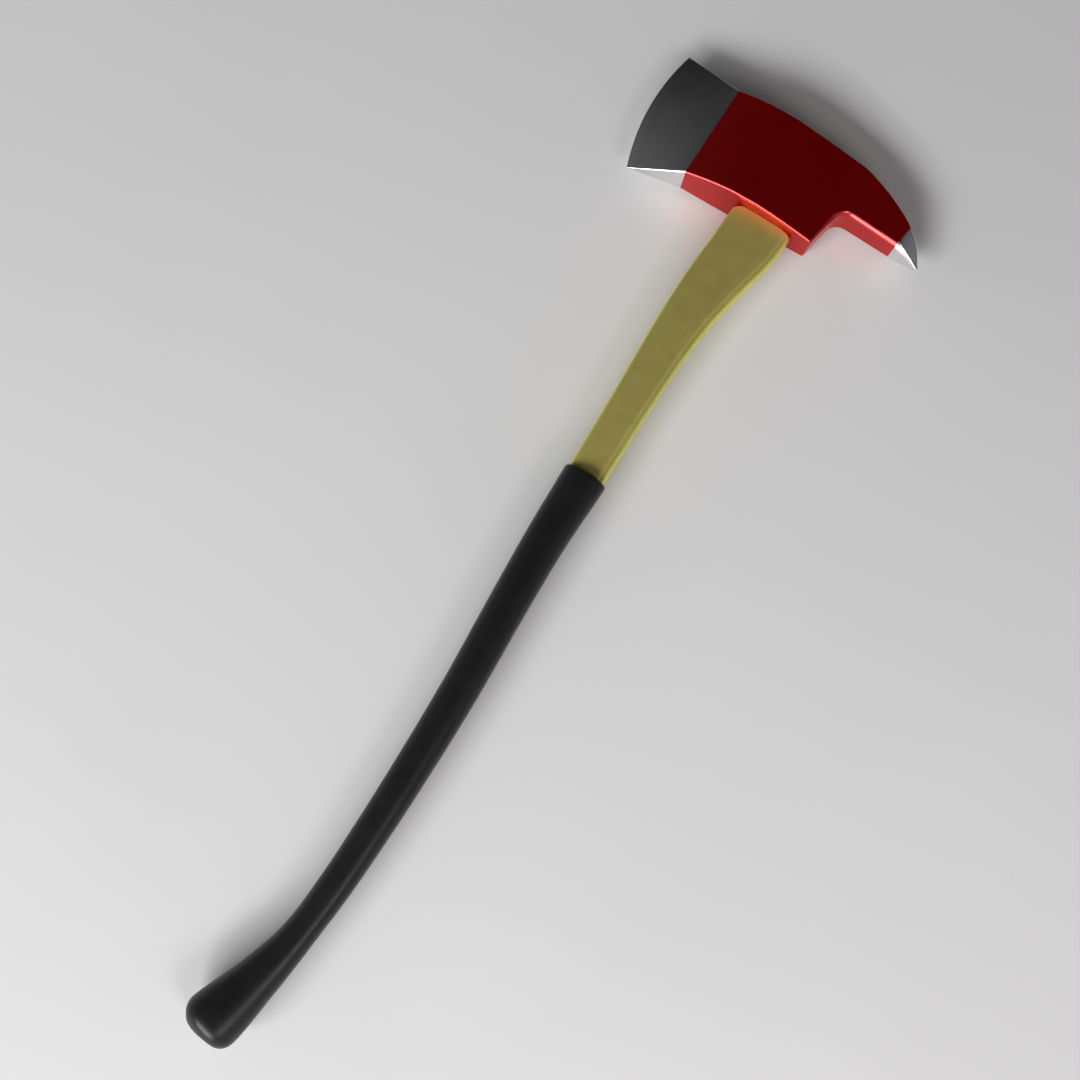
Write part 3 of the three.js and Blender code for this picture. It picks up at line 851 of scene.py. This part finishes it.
class Nodes:
    """A material with its principled shader, and short calls for the nodes in front of it."""

    def __init__(self, name, **values):
        self.material = bpy.data.materials.new(name)
        self.material.use_nodes = True
        self.tree = self.material.node_tree
        self.shader = self.tree.nodes["Principled BSDF"]
        for socket, value in values.items():
            self.shader.inputs[socket.replace("_", " ")].default_value = value
        self.place = self.tree.nodes.new("ShaderNodeTexCoord").outputs["Object"]

    def link(self, source, target):
        self.tree.links.new(source, target)

    def noise(self, scale, detail=4.0, stretch=(1, 1, 1), rough=0.5):
        mapping = self.tree.nodes.new("ShaderNodeMapping")
        mapping.inputs["Scale"].default_value = stretch
        self.link(self.place, mapping.inputs["Vector"])
        noise = self.tree.nodes.new("ShaderNodeTexNoise")
        noise.inputs["Scale"].default_value = scale
        noise.inputs["Detail"].default_value = detail
        noise.inputs["Roughness"].default_value = rough
        self.link(mapping.outputs["Vector"], noise.inputs["Vector"])
        return noise.outputs["Fac"]

    def spread(self, noise, to_low, to_high):
        """A value that follows a noise from to_low to to_high."""
        node = map_range(self.tree, noise, NOISE_LOW, NOISE_HIGH, to_low, to_high)
        return node.outputs["Result"]

    def tones(self, noise, first, second, low=NOISE_LOW, high=NOISE_HIGH):
        """A colour that follows a noise from the first colour to the second."""
        return colour_ramp(self.tree, noise, ((low, first), (high, second)))

    def mixed(self, fac, first, second):
        node = self.tree.nodes.new("ShaderNodeMix")
        node.data_type = "RGBA"
        self.link(fac, node.inputs["Factor"])
        self.link(first, node.inputs[COLOUR_A])
        self.link(second, node.inputs[COLOUR_B])
        return node.outputs[COLOUR_RESULT]

    def facing_up(self):
        """How nearly the surface faces straight up or down, 1 where it does."""
        split = self.tree.nodes.new("ShaderNodeSeparateXYZ")
        normal = self.tree.nodes.new("ShaderNodeNewGeometry").outputs["Normal"]
        self.link(normal, split.inputs["Vector"])
        size = self.tree.nodes.new("ShaderNodeMath")
        size.operation = "ABSOLUTE"
        self.link(split.outputs["Z"], size.inputs[0])
        return size.outputs["Value"]

    def bump(self, height, distance, strength):
        node = self.tree.nodes.new("ShaderNodeBump")
        node.inputs["Strength"].default_value = strength
        node.inputs["Distance"].default_value = distance
        self.link(height, node.inputs["Height"])
        return node.outputs["Normal"]

    def set(self, socket, output):
        self.link(output, self.shader.inputs[socket])


# ------------------------------------------------------------------ materials


def red_enamel():
    m = Nodes(
        "red_enamel", Metallic=0.78, Coat_Weight=0.4, Coat_IOR=1.9, Specular_IOR_Level=0.3,
        Specular_Tint=(1, 0.3, 0.25, 1))
    m.set("Base Color", m.tones(m.noise(24, 6), (0.44, 0.0008, 0.001), (0.49, 0.0016, 0.0014)))
    m.set("Roughness", m.spread(m.noise(60, 5), 0.2, 0.27))
    m.set("Coat Roughness", m.spread(m.noise(45, 5), 0.2, 0.28))
    m.set("Normal", m.bump(m.noise(420, 2), 0.00003, 0.2))
    return m.material


def bare_steel():
    """Ground steel, with fine grinding lines across its width."""
    m = Nodes("bare_steel", Metallic=1.0)
    lines = m.noise(1, 5, (60, 2600, 60), 0.7)
    m.set("Base Color", m.tones(m.noise(30, 6), (0.74, 0.74, 0.75), (0.84, 0.84, 0.84)))
    m.set("Roughness", m.spread(lines, 0.16, 0.26))
    m.set("Normal", m.bump(lines, 0.00002, 0.15))
    return m.material


def yellow_jacket():
    """Pearly yellow moulding with painted light: deep yellow over the flat faces, and the bar's
    rounded sides painted a lighter yellow that stands in for light glowing through the clear
    jacket.
    """
    m = Nodes("yellow_jacket", Metallic=0.7)
    streaks = m.noise(1, 5, (900, 14, 900), 0.6)
    deep = m.tones(streaks, (0.75, 0.655, 0.185), (0.82, 0.70, 0.205))
    light = m.tones(streaks, (0.80, 0.77, 0.19), (0.86, 0.83, 0.21))
    level, tilted = 0.995, 0.86  # how nearly a surface faces up, where each colour is pure
    # Painted light: the colour turns from the deep yellow to the lighter one as the surface tilts
    # away from facing up, which paints a glow along the bar's sides.
    painted_side_light = map_range(m.tree, m.facing_up(), level, tilted, 0, 1).outputs["Result"]
    m.set("Base Color", m.mixed(painted_side_light, deep, light))
    m.set("Roughness", m.spread(m.noise(80, 5), 0.38, 0.46))
    m.set("Normal", m.bump(m.noise(700, 3), 0.00002, 0.3))
    return m.material


def black_rubber():
    m = Nodes("black_rubber", Specular_IOR_Level=0.32)
    m.set("Base Color", m.tones(
        m.noise(30, 6), (0.0075, 0.0075, 0.0075), (0.0105, 0.010, 0.010)))
    m.set("Roughness", m.spread(m.noise(90, 5), 0.34, 0.42))
    m.set("Normal", m.bump(m.noise(2400, 3), 0.00004, 0.4))
    return m.material


def glass_fibre():
    m = Nodes("glass_fibre")
    strands = m.noise(1, 4, (2600, 40, 2600), 0.7)
    m.set("Base Color", m.tones(strands, (0.30, 0.26, 0.12), (0.52, 0.47, 0.28), 0.35, 0.65))
    m.set("Roughness", m.spread(m.noise(500, 4), 0.4, 0.6))
    return m.material


def cured_resin():
    m = Nodes("cured_resin")
    m.set("Base Color", m.tones(m.noise(150, 4), (0.16, 0.09, 0.03), (0.24, 0.15, 0.05)))
    m.set("Roughness", m.spread(m.noise(200, 4), 0.15, 0.3))
    m.set("Normal", m.bump(m.noise(260, 2), 0.0002, 0.4))
    return m.material


def foam_rubber():
    m = Nodes("foam_rubber")
    m.set("Base Color", m.tones(m.noise(900, 3), (0.03, 0.03, 0.03), (0.07, 0.07, 0.07)))
    m.set("Roughness", m.spread(m.noise(900, 3), 0.75, 0.95))
    m.set("Normal", m.bump(m.noise(1800, 3), 0.0002, 0.6))
    return m.material


def floor_paint():
    m = Nodes("floor_paint")
    m.set("Base Color", m.tones(m.noise(3, 3), (0.78, 0.78, 0.78), (0.80, 0.80, 0.80)))
    m.set("Roughness", m.spread(m.noise(8, 3), 0.5, 0.6))
    return m.material


# ------------------------------------------------------------------ the axe


def build_head(paint, steel):
    body = cut_out(head_part("painted_body", BIT_END, TIP_START, SKIN), eye_cutter())
    add_piece("head_painted_body", body, "axe_head", paint)
    bit = head_part("bare_bit", 0, BIT_END, SKIN + PAINT)
    add_piece("head_bare_bit", bit, "axe_head", steel, BIT_SHARP_ANGLE)
    tip = head_part("bare_pick_tip", TIP_START, len(LOW) - 1, SKIN + PAINT)
    add_piece("head_bare_pick_tip", tip, "axe_head", steel, TIP_SHARP_ANGLE)


def build_handle():
    add_piece(
        "handle_jacket_moulding", handle_jacket_mesh(), "handle_jacket",
        yellow_jacket())
    add_piece(
        "rubber_grip_moulding", rubber_grip_mesh(), "rubber_grip",
        black_rubber())


def finish_cad_nodes():
    """The pieces inside the eye and the handle keep their CAD shapes and get their materials."""
    for node, material in (
        ("fibreglass_core", glass_fibre()),
        ("eye_resin", cured_resin()),
        ("eye_seal_cord", foam_rubber()),
    ):
        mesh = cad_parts[node].data
        mesh.materials.clear()
        mesh.materials.append(material)


# ------------------------------------------------------------------ studio

FLOOR_REACH = 6.0
FLOOR_DROP = 0.0002  # keeps the floor clear of the cheeks that rest on it

CAMERA_PLACE = (0.0496, -0.5881, 1.097)
CAMERA_TARGET = (-0.0039, -0.3886, 0)
CAMERA_UP = (-0.5018, 0.8464, 0.1784)  # turned so that the handle runs to the lower left
SENSOR_WIDTH = 36
FOCAL_LENGTH = 43.3

KEY = {
    "place": (-0.6, -4.0, 2.4), "target": (0, -0.2, 0), "size": (3.4, 1.25), "power": 204,
    "colour": (1, 1, 1),
}
FILL = {
    "place": (1.5, -1.5, 1.8), "target": (0, -0.4, 0), "size": (0.8, 0.8), "power": 13,
    "colour": (1, 0.93, 0.95),
}

ROOM_GREYS = (  # from the horizon, at 0, to straight overhead, at 1
    (0.0, 0.62), (0.3, 0.42), (0.48, 0.2), (0.67, 0.07), (0.87, 0.03), (1.0, 0.025),
)
ROOM_NEAR, ROOM_FAR = -0.5, 0.6  # headings from behind the butt to beyond the crown
ROOM_NEAR_STRENGTH, ROOM_FAR_STRENGTH = 1.5, 0.06
ROOM_GLOWS = (  # heading, where the patch starts (1 at its middle), strength
    ((-0.62, 0.2, 0.76), 0.88, 0.2),
    ((0.78, 0.36, 0.52), 0.92, 0.54),
)


def build_floor():
    corners = [(-1, -1), (1, -1), (1, 1), (-1, 1)]
    points = [Vector((x * FLOOR_REACH, y * FLOOR_REACH, 0)) for x, y in corners]
    floor = bpy.data.objects.new("studio_floor", mesh_of("studio_floor", points, [(0, 1, 2, 3)]))
    bpy.context.collection.objects.link(floor)
    floor.data.materials.append(floor_paint())
    floor.location.z = -FLOOR_DROP


def build_camera():
    """Almost straight down on the axe."""
    place, target = Vector(CAMERA_PLACE), Vector(CAMERA_TARGET)
    camera = bpy.data.objects.new("camera", bpy.data.cameras.new("camera"))
    bpy.context.collection.objects.link(camera)
    camera.data.sensor_width = SENSOR_WIDTH
    camera.data.lens = FOCAL_LENGTH
    back = (place - target).normalized()
    right = Vector(CAMERA_UP).cross(back).normalized()
    up = back.cross(right)
    turned = Matrix((right, up, back)).transposed().to_4x4()
    camera.matrix_world = Matrix.Translation(place) @ turned
    bpy.context.scene.camera = camera


def area_light(name, place, target, size, power, colour):
    data = bpy.data.lights.new(name, "AREA")
    data.shape = "RECTANGLE"
    data.size, data.size_y = size
    data.energy = power
    data.color = colour
    light = bpy.data.objects.new(name, data)
    bpy.context.collection.objects.link(light)
    light.location = place
    light.rotation_mode = "QUATERNION"
    aim = Vector(target) - Vector(place)
    light.rotation_quaternion = aim.to_track_quat("-Z", "Y")


def glow(tree, place, under, heading, start, strength):
    """Adds a soft patch of light to the room, round a heading."""
    turned = tree.nodes.new("ShaderNodeVectorMath")
    turned.operation = "DOT_PRODUCT"
    turned.inputs[1].default_value = Vector(heading).normalized()
    tree.links.new(place, turned.inputs[0])
    patch = map_range(tree, turned.outputs["Value"], start, 1, 0, strength)
    patch.interpolation_type = "SMOOTHSTEP"
    both = tree.nodes.new("ShaderNodeVectorMath")
    both.operation = "ADD"
    tree.links.new(under, both.inputs[0])
    tree.links.new(patch.outputs["Result"], both.inputs[1])
    return both.outputs["Vector"]


def build_room():
    """A room that is dark overhead, and darker beyond the head's crown than behind the butt."""
    world = bpy.data.worlds.new("studio")
    bpy.context.scene.world = world
    world.use_nodes = True
    tree = world.node_tree
    sky = tree.nodes["Background"]
    place = tree.nodes.new("ShaderNodeTexCoord").outputs["Generated"]
    split = tree.nodes.new("ShaderNodeSeparateXYZ")
    tree.links.new(place, split.inputs["Vector"])
    stops = [(position, (grey, grey, grey)) for position, grey in ROOM_GREYS]
    lit = colour_ramp(tree, split.outputs["Z"], stops)
    for heading, start, strength in ROOM_GLOWS:
        lit = glow(tree, place, lit, heading, start, strength)
    tree.links.new(lit, sky.inputs["Color"])
    dimmed = map_range(
        tree, split.outputs["Y"], ROOM_NEAR, ROOM_FAR, ROOM_NEAR_STRENGTH, ROOM_FAR_STRENGTH)
    tree.links.new(dimmed.outputs["Result"], sky.inputs["Strength"])


build_camera()
build_head(red_enamel(), bare_steel())
build_handle()
finish_cad_nodes()
build_floor()
area_light("key_softbox", **KEY)
area_light("right_softbox", **FILL)
build_room()
bpy.context.scene.view_settings.view_transform = "Standard"
